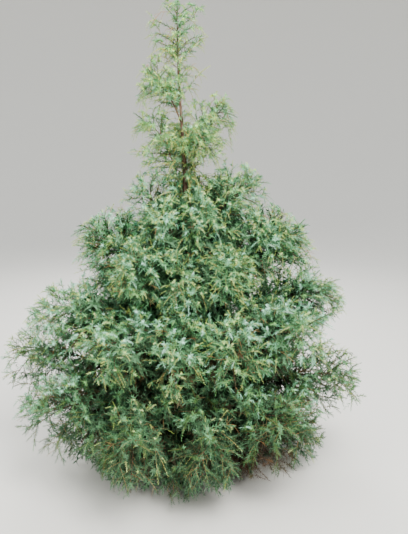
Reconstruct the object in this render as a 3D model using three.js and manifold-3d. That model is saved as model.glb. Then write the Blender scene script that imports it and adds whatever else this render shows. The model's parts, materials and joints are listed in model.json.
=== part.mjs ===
// Common juniper, a whole garden shrub with one leader: a leaning trunk from its flat cut at
// ground level, boughs that climb out of it low down, and masses of needle sprays that make
// a broad skirt, rounded shoulders and a thin spire. Millimetres, +Z up, +X to the right and
// -Y towards the viewer. The origin is the middle of the flat cut under the trunk.

import * as THREE from 'three';
import Module from 'manifold-3d';

const wasm = await Module();
wasm.setup();

// Trunk
const trunkTop = 1930;          // the trunk ends here and the leader's own spray goes on
const footRadius = 23;          // trunk at the ground, without its root flare
const topRadius = 4.5;
const flareRadius = 15;         // what the root flare adds at the ground
const flareHeight = 55;         // the flare dies away over this height
const flareLobes = 5;
const flareDepth = 0.32;        // how far the hollows between the root lobes cut into the flare
const leanLeft = 0.022;         // sideways lean for each unit of height
const swaySide = 9;
const swayDepth = 7;
const swayHeight = 1150;        // height of one whole sway
const depthTurn = 0.7;          // sways to the back are this much slower
const settleHeight = 300;       // under this height the sway dies away
const flareLevels = [0, 12, 30, 55, 90, 150];
const trunkLevels = 12;         // rings above the flare

// Clearances and sections
const clearance = 0.3;          // between two solids that meet
const airGap = 2.5;             // between the spaces of two masses, and round every limb
const groundGap = 12;           // foliage stays this far above the ground
const trunkSides = 12;
const boughSides = 4;
const boughSteps = 3;
const boughTaper = 0.55;        // a bough's end for each unit of its foot
const crookAt = 0.45;           // where a limb's arch tops out, as a share of its reach
const goldenAngle = THREE.MathUtils.degToRad(137.5);
const goldenPart = 0.618;

// A tier is a ring of limbs. Each limb is [azimuth, reach, height] of its furthest tip: azimuth 0
// is to the right, 90 away from the viewer, 180 to the left.
// leaves and climb: the lowest limb's height on the trunk, and the height that the tier spreads over.
// nod: how far a limb's tip hangs under the top of its arch.
// split: where the mass takes over from the bough, as a share of the limb, 0 without a bough.
// space: radius of the room that a mass has. thick: limb radius at the trunk. twigs: side twigs.
const tiers = [
  {
    name: 'hem', leaves: 52, climb: 60, nod: 50, split: 0, space: 160, thick: 6.5, twigs: 4,
    limbs: [[200, 700, 185], [231, 600, 165], [263, 530, 155], [340, 690, 170], [20, 690, 160],
      [80, 660, 160], [146, 670, 160]],
  },
  {
    name: 'dead', leaves: 74, climb: 0, nod: 70, split: 0, space: 120, thick: 5.5, twigs: 7,
    slim: true, bare: true, limbs: [[309, 500, 100]],
  },
  {
    name: 'skirt', leaves: 118, climb: 130, nod: 20, split: 0.36, space: 225, thick: 9.5, twigs: 5,
    limbs: [[185, 860, 570], [216, 800, 430], [247, 690, 380], [278, 650, 370], [310, 690, 390],
      [346, 800, 490], [45, 800, 520], [115, 790, 510]],
  },
  {
    name: 'mid', leaves: 270, climb: 170, nod: 0, split: 0.34, space: 205, thick: 8.5, twigs: 5,
    limbs: [[202, 740, 860], [232, 620, 750], [262, 560, 720], [294, 570, 720], [328, 660, 790],
      [8, 720, 860], [76, 680, 860], [142, 690, 880]],
  },
  {
    name: 'shoulder', leaves: 480, climb: 190, nod: -70, split: 0, space: 175, thick: 7, twigs: 5,
    limbs: [[186, 530, 1210], [228, 420, 1080], [268, 380, 1030], [306, 410, 1060], [350, 570, 1210],
      [62, 440, 1190], [125, 440, 1190]],
  },
  {
    name: 'crest', leaves: 800, climb: 210, nod: -90, split: 0, space: 140, thick: 5.5, twigs: 4,
    limbs: [[196, 210, 1390], [246, 230, 1290], [292, 250, 1320], [336, 290, 1370], [12, 390, 1430],
      [98, 260, 1420]],
  },
  {
    name: 'spire', leaves: 1290, climb: 460, nod: 10, split: 0, space: 105, thick: 4.2, twigs: 4,
    slim: true,
    limbs: [[184, 195, 1690], [318, 150, 1610], [95, 170, 1660], [196, 150, 1870], [6, 205, 1745]],
  },
];

// The spray at the top of the leader
const leader = {
  name: 'leader_spray', height: 2215, split: 0, space: 120, thick: 4.1, twigs: 4, slim: true,
};

// The stem of a mass runs from the bough's end to the limb's tip. In a dense mass it swells into
// a core, in the thin spire it stays slim. width and end are the radius in its middle and at its
// tip, and spray the length of its sprays, all for each unit of the mass's space.
const stemBare = 0.1;           // share of the stem without sprays, at its foot
const bareFromTrunk = 0.22;     // the same where the stem comes out of the trunk
const centreFrom = 0.26;        // a mass's middle is halfway between this share of its limb and the tip
const denseStem = { sides: 5, whorls: 5, width: 0.2, end: 0.05, spray: 0.6 };
const slimStem = { sides: 3, whorls: 4, width: 0.055, end: 0.03, spray: 0.34 };

// Side twigs, each turned by the golden angle from the one before
const twigsFrom = 0.15;         // no twig is nearer to the trunk than this share of the limb
const firstTwigAt = 0.1;        // share of the stem
const lastTwigAt = 0.78;
const spreadAtFoot = 66;        // degrees between the stem and a side twig
const spreadAtEnd = 40;
const spreadVaries = 16;
const turnVaries = 0.9;
const twigShare = 1.2;          // length of a side twig for each unit of the mass's space
const shorterAtEnd = 0.35;
const lengthVaries = 0.3;
const bendAt = 0.55;            // share of a twig's length that runs straight before it droops
const droopShare = 0.18;        // how far its tip hangs under that straight line
const tryLengths = [1, 0.86, 0.72, 0.58, 0.45];
const tryTurns = [0, 35, -35, 70, -70];   // degrees
const twigSides = 3;
const denseTwig = { bare: 0.42, whorls: 2 };   // its foot is inside the core
const slimTwig = { bare: 0.2, whorls: 3 };
const twigWidth = 0.05;         // radius of a twig's foot for each unit of its length
const twigTip = 2.6;
const twigSpray = 0.34;         // length of a spray on a twig, for each unit of the twig
const bareWidth = 2.6;          // radius of a dead twig, and of its tip
const bareTip = 1.3;

// A needle spray stands on one face of its stem or twig and leans forward
const whorlTwist = THREE.MathUtils.degToRad(22);
const sprayShorter = 0.35;      // sprays near a tip are this much shorter
const sprayTilt = THREE.MathUtils.degToRad(47);
const spraySag = 0.12;
const tipShare = 0.14;          // a twig needs room for this share of its length beyond its end
const tipReach = 0.28;          // point beyond the last whorl, for each unit of a spray
const furthest = 1.6;           // no foliage is further from its mass's middle, for each unit of space
const mostPulls = 12;           // how often a corner of a core is drawn in to keep to its space
const pullShare = 0.2;

const vector = (x, y, z) => new THREE.Vector3(x, y, z);
const mix = THREE.MathUtils.lerp;

// Seeded numbers from 0 to 1, the same on every run
function seededChance(seed) {
  let state = seed * 7919 + 12345;
  return () => {
    state = (state * 16807) % 2147483647;
    return state / 2147483647;
  };
}

// Centre of the trunk at a height
function trunkCentre(height) {
  const turn = (2 * Math.PI * height) / swayHeight;
  const settle = Math.min(1, height / settleHeight);
  return vector(
    -leanLeft * height + swaySide * Math.sin(turn) * settle,
    swayDepth * Math.sin(turn * depthTurn) * settle,
    height,
  );
}

// Radius of the trunk at a height, in the direction of an angle round it
function trunkRadius(height, angle) {
  const body = mix(footRadius, topRadius, Math.pow(height / trunkTop, 0.85));
  const lobe = 1 - flareDepth * (0.5 - 0.5 * Math.cos(flareLobes * angle));
  return body + flareRadius * Math.exp(-height / flareHeight) * lobe;
}

// A mesh geometry from points and triangles
function geometryOf(points, triangles) {
  const geometry = new THREE.BufferGeometry().setFromPoints(points);
  geometry.setIndex(triangles);
  return geometry;
}

// A solid for joining and cutting, and the way back to a geometry
function solidOf(geometry) {
  const vertProperties = new Float32Array(geometry.getAttribute('position').array);
  const triVerts = new Uint32Array(geometry.index.array);
  return new wasm.Manifold(new wasm.Mesh({ numProp: 3, vertProperties, triVerts }));
}

function geometryOfSolid(solid) {
  const mesh = solid.getMesh();
  const geometry = new THREE.BufferGeometry();
  geometry.setAttribute('position', new THREE.BufferAttribute(mesh.vertProperties, 3));
  geometry.setIndex(new THREE.BufferAttribute(mesh.triVerts, 1));
  return geometry;
}

// Joins rings of equal count into one closed body, with a flat fan at each end
function loft(rings) {
  const sides = rings[0].length;
  const triangles = [];
  for (let ring = 0; ring + 1 < rings.length; ring++) {
    for (let side = 0; side < sides; side++) {
      const a = ring * sides + side;
      const b = ring * sides + ((side + 1) % sides);
      triangles.push(a, b, b + sides, a, b + sides, a + sides);
    }
  }
  const last = (rings.length - 1) * sides;
  for (let side = 1; side + 1 < sides; side++) {
    triangles.push(0, side + 1, side, last, last + side, last + side + 1);
  }
  return geometryOf(rings.flat(), triangles);
}

// Two directions square to a line, so that across, over and the line are right-handed
function squareTo(line) {
  const helper = Math.abs(line.z) > 0.97 ? vector(1, 0, 0) : vector(0, 0, 1);
  const across = line.clone().cross(helper).normalize();
  return { across, over: line.clone().cross(across) };
}

function ringAt(centre, line, radius, sides, turn = 0) {
  const { across, over } = squareTo(line);
  return Array.from({ length: sides }, (_, side) => {
    const angle = turn + (2 * Math.PI * side) / sides;
    return centre.clone()
      .addScaledVector(across, radius * Math.cos(angle))
      .addScaledVector(over, radius * Math.sin(angle));
  });
}

// The trunk's rings lie level, so its foot is one flat cut. extra widens it, for cutting limbs clear.
function trunkSolid(extra) {
  const heights = [...flareLevels];
  const flareEnd = flareLevels.at(-1);
  for (let level = 1; level <= trunkLevels; level++) {
    heights.push(mix(flareEnd, trunkTop, level / trunkLevels));
  }
  const rings = heights.map((height) => {
    const centre = trunkCentre(height);
    return Array.from({ length: trunkSides }, (_, side) => {
      const angle = (2 * Math.PI * side) / trunkSides;
      const radius = trunkRadius(height, angle) + extra;
      return vector(centre.x + radius * Math.cos(angle), centre.y + radius * Math.sin(angle), height);
    });
  });
  return solidOf(loft(rings));
}

// The line of a limb: out of the trunk's heart, over its arch and on to its tip
function limbLine(leaves, azimuth, reach, height, nod) {
  const angle = THREE.MathUtils.degToRad(azimuth);
  const heart = trunkCentre(leaves);
  const out = (share, at) => vector(heart.x + reach * share * Math.cos(angle),
    heart.y + reach * share * Math.sin(angle), at);
  return new THREE.QuadraticBezierCurve3(heart, out(crookAt, height + nod), out(1, height));
}

// Every limb of the crown. Neighbours in a tier leave the trunk at heights well apart.
const crown = [];
for (const tier of tiers) {
  tier.limbs.forEach(([azimuth, reach, height], place) => {
    const leaves = tier.leaves + tier.climb * ((place * goldenPart) % 1);
    const line = limbLine(leaves, azimuth, reach, height, tier.nod);
    crown.push({ ...tier, name: `${tier.name}_${place + 1}`, line });
  });
}
crown.push({
  ...leader,
  line: new THREE.QuadraticBezierCurve3(trunkCentre(trunkTop),
    trunkCentre(mix(trunkTop, leader.height, 0.5)), trunkCentre(leader.height)),
});
for (const limb of crown) {
  limb.centre = limb.line.getPoint(mix(Math.max(limb.split, centreFrom), 1, 0.5));
  limb.stem = limb.slim ? slimStem : denseStem;
  limb.slimRadius = limb.bare ? bareWidth : limb.space * slimStem.width;
}

// Radius of a bough at a share of its limb
const boughRadius = (limb, share) => limb.thick * mix(1, boughTaper, share / limb.split);

// A bough, from the trunk's heart to where its mass takes over
function boughSolid(limb) {
  const rings = [];
  for (let step = 0; step <= boughSteps; step++) {
    const share = (limb.split * step) / boughSteps;
    rings.push(ringAt(limb.line.getPoint(share), limb.line.getTangent(share),
      boughRadius(limb, share), boughSides));
  }
  return solidOf(loft(rings));
}

// What foliage has to stay clear of: straight lengths of trunk and limb, each with a radius
const obstacles = [];
function addObstacle(owner, from, to, radius) {
  obstacles.push({ owner, line: new THREE.Line3(from, to), radius });
}
const trunkSteps = 24;
for (let step = 0; step < trunkSteps; step++) {
  const low = (trunkTop * step) / trunkSteps;
  const high = (trunkTop * (step + 1)) / trunkSteps;
  addObstacle('trunk', trunkCentre(low), trunkCentre(high), trunkRadius(low, 0));
}
const limbSteps = 8;
for (const limb of crown) {
  const stretches = [[0, limb.split, 'bough', limb.thick], [limb.split, 1, limb.name, limb.slimRadius]];
  for (const [from, to, owner, radius] of stretches) {
    for (let step = 0; step < limbSteps && to > from; step++) {
      addObstacle(owner, limb.line.getPoint(mix(from, to, step / limbSteps)),
        limb.line.getPoint(mix(from, to, (step + 1) / limbSteps)), radius);
    }
  }
}

// A mass keeps to the points that are nearer to it than to any other, weighed by their spaces
function inOwnSpace(limb, point) {
  if (point.z < groundGap || point.distanceTo(limb.centre) > furthest * limb.space) return false;
  const own = point.distanceToSquared(limb.centre) - limb.space ** 2;
  return crown.every((other) => {
    if (other === limb) return true;
    const theirs = point.distanceToSquared(other.centre) - other.space ** 2;
    return theirs - own > 2 * airGap * limb.centre.distanceTo(other.centre);
  });
}

function clearOfLimbs(limb, from, to, radius) {
  const length = new THREE.Line3(from, to);
  return obstacles.every((other) => other.owner === limb.name
    || Math.sqrt(length.distanceSqToLine3(other.line)) > radius + other.radius + airGap);
}

// The line of a twig, and the longest length of it that stays in the mass's space
function fitTwig(limb, share, spread, turn, fullLength) {
  const root = limb.line.getPoint(share);
  const ahead = limb.line.getTangent(share);
  const { across, over } = squareTo(ahead);
  for (const part of tryLengths) {
    for (const shift of tryTurns) {
      const angle = turn + THREE.MathUtils.degToRad(shift);
      const heading = ahead.clone().multiplyScalar(Math.cos(spread))
        .addScaledVector(across, Math.sin(spread) * Math.cos(angle))
        .addScaledVector(over, Math.sin(spread) * Math.sin(angle));
      const length = fullLength * part;
      const bend = root.clone().addScaledVector(heading, length * bendAt);
      const end = root.clone().addScaledVector(heading, length);
      end.z -= droopShare * length;
      const line = new THREE.QuadraticBezierCurve3(root, bend, end);
      const path = line.getPoints(5);
      path.push(end.clone().addScaledVector(line.getTangent(1), length * tipShare));
      const fits = path.every((point, at) => at === 0 || (inOwnSpace(limb, point)
        && clearOfLimbs(limb, path[at - 1], point, length * twigWidth)));
      if (fits) return { line, length };
    }
  }
  return null;
}

// The side twigs of a mass
function planTwigs(limb, seed) {
  const chance = seededChance(seed);
  const twigs = [];
  for (let place = 0; place < limb.twigs; place++) {
    const along = mix(firstTwigAt, lastTwigAt, place / (limb.twigs - 1));
    const turn = seed + place * goldenAngle + turnVaries * (chance() - 0.5);
    const degrees = mix(spreadAtFoot, spreadAtEnd, along) + spreadVaries * (chance() - 0.5);
    const length = limb.space * twigShare * (1 - shorterAtEnd * along)
      * (1 + lengthVaries * (chance() - 0.5));
    const share = mix(Math.max(limb.split, twigsFrom), 1, along);
    const twig = fitTwig(limb, share, THREE.MathUtils.degToRad(degrees), turn, length);
    if (twig) twigs.push(twig);
  }
  return twigs;
}

// One core with its sprays. Each ring is [share of the line, radius, start], and a spray stands on
// each face between two rings, past the bare first length. reach is a spray's length at the foot.
// A corner of the core is drawn in until it has room. A spray that would leave the mass's space, or
// touch a limb or one of the other twigs, is left out.
function brushSolid(limb, line, rings, sides, reach, others) {
  const points = rings.flatMap(([share, radius, start = 0], ring) => {
    const middle = line.getPoint(share).addScaledVector(line.getTangent(share), start);
    const corners = ringAt(middle, line.getTangent(share), radius, sides, ring * whorlTwist);
    for (const corner of corners) {
      const room = () => inOwnSpace(limb, corner) && clearOfLimbs(limb, middle, corner, airGap);
      for (let pull = 0; ring > 0 && pull < mostPulls && !room(); pull++) {
        corner.lerp(middle, pullShare);
      }
    }
    return corners;
  });
  const triangles = [];
  for (let side = 1; side + 1 < sides; side++) triangles.push(0, side + 1, side);
  for (let ring = 0; ring + 1 < rings.length; ring++) {
    const share = rings[ring + 1][0];
    const middle = line.getPoint(mix(rings[ring][0], share, 0.5));
    const ahead = line.getTangent(share);
    const length = reach * (1 - sprayShorter * share);
    for (let side = 0; side < sides; side++) {
      const a = ring * sides + side;
      const b = ring * sides + ((side + 1) % sides);
      const [c, d] = [b + sides, a + sides];
      const root = points[a].clone().add(points[b]).add(points[c]).add(points[d]).divideScalar(4);
      const out = root.clone().sub(middle).projectOnPlane(ahead).normalize();
      const tip = root.clone()
        .addScaledVector(out, length * Math.sin(sprayTilt))
        .addScaledVector(ahead, length * Math.cos(sprayTilt));
      tip.z -= spraySag * length;
      const spray = new THREE.Line3(root, tip);
      const grows = ring > 0 && !limb.bare && inOwnSpace(limb, tip)
        && clearOfLimbs(limb, root, tip, airGap)
        && others.every((other) => Math.sqrt(spray.distanceSqToLine3(other)) > 2 * airGap);
      if (grows) {
        points.push(tip);
        const point = points.length - 1;
        triangles.push(a, b, point, b, c, point, c, d, point, d, a, point);
      } else {
        triangles.push(a, b, c, a, c, d);
      }
    }
  }
  const last = (rings.length - 1) * sides;
  points.push(line.getPoint(1).addScaledVector(line.getTangent(1), reach * tipReach));
  for (let side = 0; side < sides; side++) {
    triangles.push(last + side, last + ((side + 1) % sides), points.length - 1);
  }
  return solidOf(geometryOf(points, triangles));
}

// The rings of a core: its foot, then one where its bare part ends and one after each whorl
function coreRings(from, bare, whorls, footWidth, widthAt) {
  const rings = [[from, footWidth, from > 0 ? clearance : 0]];
  for (let whorl = 0; whorl <= whorls; whorl++) {
    const along = mix(bare, 1, whorl / whorls);
    rings.push([mix(from, 1, along), widthAt(along)]);
  }
  return rings;
}

// A mass: its stem and side twigs, each with its sprays, joined into one
function massSolid(limb, seed) {
  const twigs = planTwigs(limb, seed);
  const ownLines = twigs.map(({ line }) => new THREE.Line3(line.getPoint(0.4), line.getPoint(1)));
  const { sides, whorls, width, end, spray } = limb.stem;
  const foot = limb.split > 0 ? boughRadius(limb, limb.split) : limb.thick;
  const stemWidth = (along) => (limb.bare ? mix(bareWidth, bareTip, along)
    : limb.space * (end + (width - end) * Math.sin(Math.PI * Math.pow(along, 0.75))));
  const rings = coreRings(limb.split, limb.split > 0 ? stemBare : bareFromTrunk, whorls, foot,
    stemWidth);
  let mass = brushSolid(limb, limb.line, rings, sides, limb.space * spray, ownLines);
  const { bare, whorls: twigWhorls } = limb.slim ? slimTwig : denseTwig;
  twigs.forEach(({ line, length }, place) => {
    const twigWidthAt = (along) => (limb.bare ? mix(bareWidth, bareTip, along)
      : mix(length * twigWidth, twigTip, along));
    const twigRings = coreRings(0, bare, twigWhorls, Math.min(twigWidthAt(0), limb.slimRadius),
      twigWidthAt);
    const others = ownLines.filter((_, other) => other !== place);
    mass = mass.add(brushSolid(limb, line, twigRings, twigSides, length * twigSpray, others));
  });
  return mass;
}

// Finishes
const bark = new THREE.MeshStandardMaterial({ color: 0x5b4a3c, roughness: 0.95, metalness: 0 });
const needles = new THREE.MeshStandardMaterial({ color: 0x5f8a63, roughness: 0.7, metalness: 0 });
const paleNeedles = new THREE.MeshStandardMaterial({ color: 0x93ab6c, roughness: 0.7, metalness: 0 });

const juniper = new THREE.Group();

function addNode(name, solid, material) {
  const mesh = new THREE.Mesh(geometryOfSolid(solid), material);
  mesh.name = name;
  juniper.add(mesh);
}

addNode('trunk', trunkSolid(0), bark);
const trunkRoom = trunkSolid(clearance);
crown.forEach((limb, place) => {
  if (limb.split > 0) addNode(`bough_${limb.name}`, boughSolid(limb).subtract(trunkRoom), bark);
  const mass = massSolid(limb, place + 1);
  const finish = limb.name === leader.name ? paleNeedles : needles;
  addNode(limb.bare ? `twigs_${limb.name}` : `foliage_${limb.name}`,
    limb.split > 0 ? mass : mass.subtract(trunkRoom), limb.bare ? bark : finish);
});

export default juniper;
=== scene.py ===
# Common juniper, a whole garden shrub with one leader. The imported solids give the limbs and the
# space of every mass; here the bark, the finer twigs and the needle sprays grow on from them.
import json
import math

import bpy
import numpy as np
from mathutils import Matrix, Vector, noise

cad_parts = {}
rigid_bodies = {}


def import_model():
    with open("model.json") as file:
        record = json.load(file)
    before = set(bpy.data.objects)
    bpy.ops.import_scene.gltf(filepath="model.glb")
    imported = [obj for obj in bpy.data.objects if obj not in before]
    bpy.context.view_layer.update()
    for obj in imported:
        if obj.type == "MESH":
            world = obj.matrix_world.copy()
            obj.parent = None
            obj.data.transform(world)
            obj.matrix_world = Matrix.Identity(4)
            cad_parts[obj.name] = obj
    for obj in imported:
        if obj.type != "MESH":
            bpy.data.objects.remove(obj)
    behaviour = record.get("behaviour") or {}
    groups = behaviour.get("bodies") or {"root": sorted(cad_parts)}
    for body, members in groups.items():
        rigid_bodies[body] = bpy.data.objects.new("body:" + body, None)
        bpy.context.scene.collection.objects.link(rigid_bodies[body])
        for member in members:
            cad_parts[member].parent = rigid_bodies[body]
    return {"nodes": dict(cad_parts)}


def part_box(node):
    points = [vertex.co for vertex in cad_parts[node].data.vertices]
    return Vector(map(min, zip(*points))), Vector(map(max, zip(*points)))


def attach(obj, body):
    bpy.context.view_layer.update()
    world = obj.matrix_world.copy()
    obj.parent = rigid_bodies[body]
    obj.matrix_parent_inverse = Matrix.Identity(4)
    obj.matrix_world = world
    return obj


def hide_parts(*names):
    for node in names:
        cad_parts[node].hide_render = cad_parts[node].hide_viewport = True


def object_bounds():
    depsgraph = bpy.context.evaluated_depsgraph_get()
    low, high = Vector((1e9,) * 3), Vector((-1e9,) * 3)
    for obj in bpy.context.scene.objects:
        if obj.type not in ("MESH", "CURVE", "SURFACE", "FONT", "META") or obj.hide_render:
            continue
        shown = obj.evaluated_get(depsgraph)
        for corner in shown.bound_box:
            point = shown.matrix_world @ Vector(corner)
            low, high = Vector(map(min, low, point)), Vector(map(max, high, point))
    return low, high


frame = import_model()
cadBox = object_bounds()
bpy.ops.object.select_all(action="DESELECT")
mm = 0.001
golden = math.radians(137.5)
nodeNames = sorted(frame["nodes"])
foliageNodes = [name for name in nodeNames if name.startswith("foliage_")]
boughNodes = [name for name in nodeNames if name.startswith("bough_")]


# Shader maths: a Wire is an output socket that can be used in sums
class Wire:
    def __init__(self, finish, socket):
        self.finish = finish
        self.socket = socket

    def maths(self, operation, first, second):
        return self.finish.node("ShaderNodeMath", {"operation": operation}, {0: first, 1: second})

    def __add__(self, other):
        return self.maths("ADD", self, other)

    def __radd__(self, other):
        return self.maths("ADD", other, self)

    def __sub__(self, other):
        return self.maths("SUBTRACT", self, other)

    def __rsub__(self, other):
        return self.maths("SUBTRACT", other, self)

    def __mul__(self, other):
        return self.maths("MULTIPLY", self, other)

    def __rmul__(self, other):
        return self.maths("MULTIPLY", other, self)


class Finish:
    def __init__(self, name, colour, roughness):
        self.material = bpy.data.materials.new(name)
        self.material.use_nodes = True
        self.tree = self.material.node_tree
        self.shader = self.tree.nodes["Principled BSDF"]
        self.shader.inputs["Base Color"].default_value = (*colour, 1)
        self.shader.inputs["Roughness"].default_value = roughness
        self.material.diffuse_color = (*colour, 1)

    def node(self, kind, settings=None, sockets=None, output=0):
        made = self.tree.nodes.new(kind)
        for key, value in (settings or {}).items():
            if key == "stops":
                self.setStops(made.color_ramp, value)
            else:
                setattr(made, key, value)
        self.feed(made, sockets or {})
        return Wire(self, made.outputs[output])

    def setStops(self, ramp, stops):
        while len(ramp.elements) < len(stops):
            ramp.elements.new(0.5)
        for element, (place, colour) in zip(ramp.elements, stops):
            element.position = place
            element.color = (*colour, 1)

    def feed(self, made, sockets):
        for key, value in sockets.items():
            if isinstance(value, Wire):
                self.tree.links.new(value.socket, made.inputs[key])
            else:
                made.inputs[key].default_value = value


def fromScreen(red, green, blue):   # a colour as a screen shows it, 0 to 255
    return tuple(((c / 255 + 0.055) / 1.055) ** 2.4 if c > 10 else c / 3295 for c in (red, green, blue))


# Stage: camera at the photo's angle, a pale bowl of a floor, soft light mostly from above
stage = {
    "cameraPlace": (0.07, -2.70, 1.60),
    "cameraTilt": 77.3,             # degrees from straight down
    "lens": 37.08,
    "floorRadius": 5.2, "floorSides": 72,
    "rimRadius": 5.6,               # the floor curves up in an arc of this radius
    "rimSteps": 12,
    "floorColour": fromScreen(206, 203, 196),
    "worldColour": fromScreen(232, 238, 244),
    "worldStrength": 1.15,
    "look": "AgX - Medium High Contrast",
    "lights": [                     # place, aimed at, side length, watts
        ((1.5, -2.4, 4.5), (0, 0, 0.9), 2.6, 370),
        ((-3.2, -2.2, 2.6), (0, 0, 0.9), 2.2, 80),
        ((-0.6, 3.2, 3.6), (0, 0, 1.0), 2.4, 150),
    ],
}


def closeMesh(inside=False):        # all normals one way, and out of edit mode
    bpy.ops.mesh.select_all(action="SELECT")
    bpy.ops.mesh.normals_make_consistent(inside=inside)
    bpy.ops.object.mode_set(mode="OBJECT")


def makeStage():
    bpy.ops.object.camera_add(
        location=stage["cameraPlace"], rotation=(math.radians(stage["cameraTilt"]), 0, 0))
    camera = bpy.context.object
    camera.data.lens = stage["lens"]
    bpy.context.scene.camera = camera
    for place, aim, size, watts in stage["lights"]:
        turn = (Vector(aim) - Vector(place)).to_track_quat("-Z", "Y").to_euler()
        bpy.ops.object.light_add(type="AREA", location=place, rotation=turn)
        lamp = bpy.context.object.data
        lamp.size = size
        lamp.energy = watts
    bpy.context.scene.view_settings.look = stage["look"]
    world = bpy.context.scene.world or bpy.data.worlds.new("studioAir")
    bpy.context.scene.world = world
    world.use_nodes = True
    air = world.node_tree.nodes["Background"]
    air.inputs["Color"].default_value = (*stage["worldColour"], 1)
    air.inputs["Strength"].default_value = stage["worldStrength"]
    bpy.ops.mesh.primitive_circle_add(
        vertices=stage["floorSides"], radius=stage["floorRadius"], fill_type="NGON")
    floor = bpy.context.object
    floor.name = "studio_floor"
    bpy.ops.object.mode_set(mode="EDIT")
    radius, height = stage["floorRadius"], 0
    for step in range(1, stage["rimSteps"] + 1):
        arc = math.pi / 2 * step / stage["rimSteps"]
        nextRadius = stage["floorRadius"] + stage["rimRadius"] * math.sin(arc)
        nextHeight = stage["rimRadius"] * (1 - math.cos(arc))
        bpy.ops.mesh.extrude_region_move(
            TRANSFORM_OT_translate={"value": (0, 0, nextHeight - height)})
        grow = nextRadius / radius
        bpy.ops.transform.resize(value=(grow, grow, 1), center_override=(0, 0, nextHeight))
        radius, height = nextRadius, nextHeight
    bpy.ops.mesh.delete(type="ONLY_FACE")
    bpy.ops.mesh.select_all(action="DESELECT")
    bpy.ops.object.mode_set(mode="OBJECT")
    for edge in floor.data.edges:   # the foot ring lost its face as the first extrusion was made
        edge.select = all(abs(floor.data.vertices[v].co.z) < 1e-5 for v in edge.vertices)
    bpy.ops.object.mode_set(mode="EDIT")
    bpy.ops.mesh.edge_face_add()
    closeMesh(inside=True)
    bpy.ops.object.shade_smooth()
    paint = Finish("studioFloor", stage["floorColour"], 0.9)
    floor.data.materials.append(paint.material)
    floor.select_set(False)


makeStage()
print("stage ready")


# The limbs of the source, in millimetres and degrees, and its rule for where they run
limbTable = {
    "trunkTop": 1930, "footRadius": 23, "topRadius": 4.5,
    "flareRadius": 15, "flareHeight": 55, "flareLobes": 5, "flareDepth": 0.32,
    "leanLeft": 0.022, "swaySide": 9, "swayDepth": 7, "swayHeight": 1150,
    "depthTurn": 0.7, "settleHeight": 300,
    "crookAt": 0.45, "goldenPart": 0.618, "boughTaper": 0.55, "centreFrom": 0.26,
    "slimWidth": 0.055, "bareWidth": 2.6, "leaderHeight": 2215,
    "trunkSteps": 24, "limbSteps": 8,
    "leader": (120, 4.1, 4),        # space, thick and twigs of its spray
    "tiers": [                      # name, leaves, climb, nod, split, space, thick, twigs, limbs
        ("hem", 52, 60, 50, 0, 160, 6.5, 4,
         [(200, 700, 185), (231, 600, 165), (263, 530, 155), (340, 690, 170), (20, 690, 160),
          (80, 660, 160), (146, 670, 160)]),
        ("dead", 74, 0, 70, 0, 120, 5.5, 7, [(309, 500, 100)]),
        ("skirt", 118, 130, 20, 0.36, 225, 9.5, 5,
         [(185, 860, 570), (216, 800, 430), (247, 690, 380), (278, 650, 370), (310, 690, 390),
          (346, 800, 490), (45, 800, 520), (115, 790, 510)]),
        ("mid", 270, 170, 0, 0.34, 205, 8.5, 5,
         [(202, 740, 860), (232, 620, 750), (262, 560, 720), (294, 570, 720), (328, 660, 790),
          (8, 720, 860), (76, 680, 860), (142, 690, 880)]),
        ("shoulder", 480, 190, -70, 0, 175, 7, 5,
         [(186, 530, 1210), (228, 420, 1080), (268, 380, 1030), (306, 410, 1060), (350, 570, 1210),
          (62, 440, 1190), (125, 440, 1190)]),
        ("crest", 800, 210, -90, 0, 140, 5.5, 4,
         [(196, 210, 1390), (246, 230, 1290), (292, 250, 1320), (336, 290, 1370), (12, 390, 1430),
          (98, 260, 1420)]),
        ("spire", 1290, 460, 10, 0, 105, 4.2, 4,
         [(184, 195, 1690), (318, 150, 1610), (95, 170, 1660), (196, 150, 1870), (6, 205, 1745)]),
    ],
}


def mix(low, high, share):
    return low + (high - low) * share


def unit(vectors):
    return vectors / np.maximum(np.linalg.norm(vectors, axis=-1, keepdims=True), 1e-12)


def trunkCentre(height):            # metres in, metres out
    h = np.asarray(height, float) / mm
    turn = 2 * math.pi * h / limbTable["swayHeight"]
    settle = np.minimum(1, h / limbTable["settleHeight"])
    return mm * np.stack([
        -limbTable["leanLeft"] * h + limbTable["swaySide"] * np.sin(turn) * settle,
        limbTable["swayDepth"] * np.sin(turn * limbTable["depthTurn"]) * settle,
        h], axis=-1)


def trunkRadius(height, angle):
    h = np.asarray(height, float) / mm
    body = mix(limbTable["footRadius"], limbTable["topRadius"], (h / limbTable["trunkTop"]) ** 0.85)
    lobe = 1 - limbTable["flareDepth"] * (0.5 - 0.5 * np.cos(limbTable["flareLobes"] * angle))
    return mm * (body + limbTable["flareRadius"] * np.exp(-h / limbTable["flareHeight"]) * lobe)


def curvePoint(lines, share):       # a line has three control points, share is one for all or one each
    t = np.asarray(share)[..., None]
    first, bend, last = (lines[..., at, :] for at in range(3))
    return (1 - t) ** 2 * first + 2 * t * (1 - t) * bend + t * t * last


def curveAhead(lines, share):
    t = np.asarray(share)[..., None]
    first, bend, last = (lines[..., at, :] for at in range(3))
    return unit((1 - t) * (bend - first) + t * (last - bend))


def partOf(lines, low, high):       # a stretch of each line, as a line of its own
    low, high = (np.asarray(end, float)[..., None] for end in (low, high))
    first, bend, last = (lines[..., at, :] for at in range(3))
    middle = (1 - low) * (1 - high) * first + (low + high - 2 * low * high) * bend + low * high * last
    return np.stack([curvePoint(lines, low[..., 0]), middle, curvePoint(lines, high[..., 0])], axis=-2)


def trunkStretches(lows, length):   # stretches of the trunk's middle, by the heights they start at
    return np.array([[trunkCentre(h) for h in np.linspace(low, low + length, 3)] for low in lows])


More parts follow.
